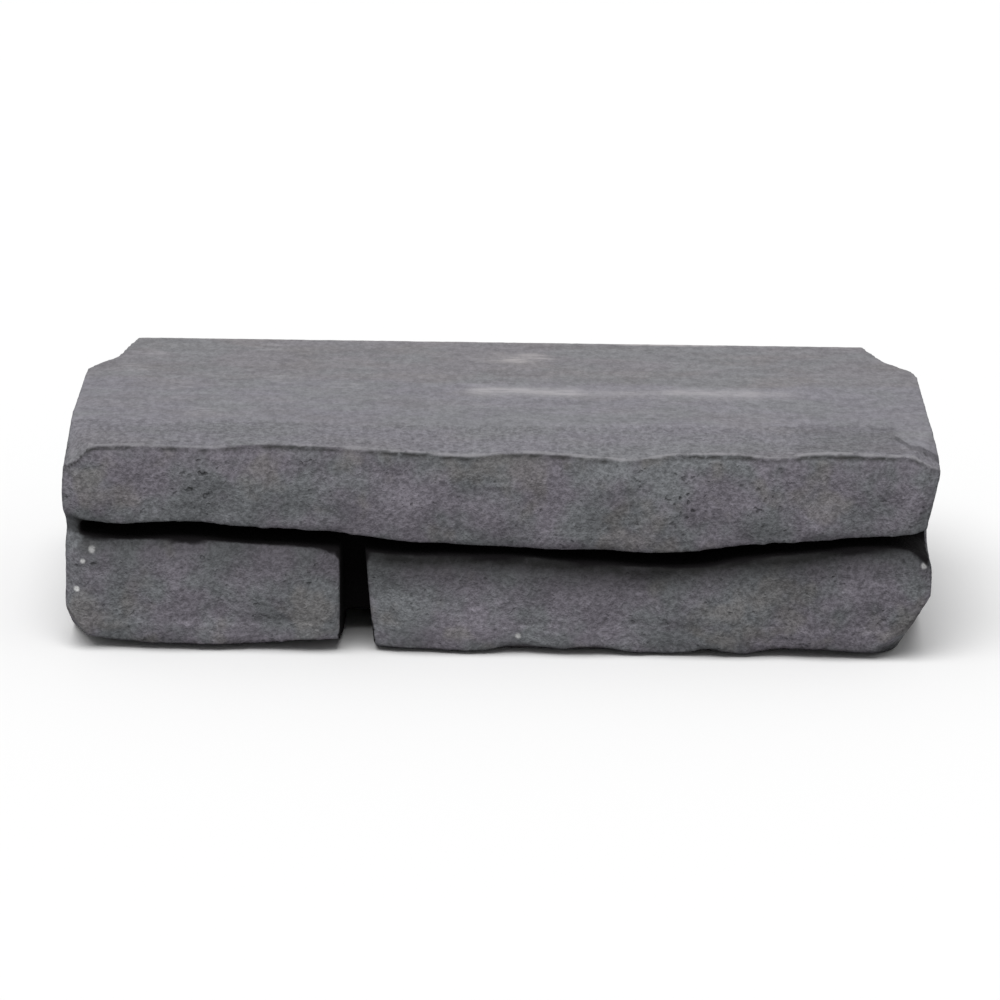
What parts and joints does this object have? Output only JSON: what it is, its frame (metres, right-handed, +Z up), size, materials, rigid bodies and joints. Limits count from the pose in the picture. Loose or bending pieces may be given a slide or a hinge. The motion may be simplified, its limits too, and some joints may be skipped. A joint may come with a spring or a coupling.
{
  "type": "retaining wall block",
  "caption": "Cast concrete retaining wall block with a face moulded as stacked split stones, deep recessed joints and rear corners broken back.",
  "frame": {"origin": "centre of the block's footprint, on its lower bed", "axes": "+Z up, +X along the wall to the right as seen from the face, the moulded face looks towards -Y and the plain back towards +Y"},
  "size_m": [0.4, 0.2001, 0.1],
  "materials": {
    "concrete": "rough cast anthracite concrete"
  },
  "bodies": {
    "root": {"wall_block": "concrete"}
  },
  "joints": []
}
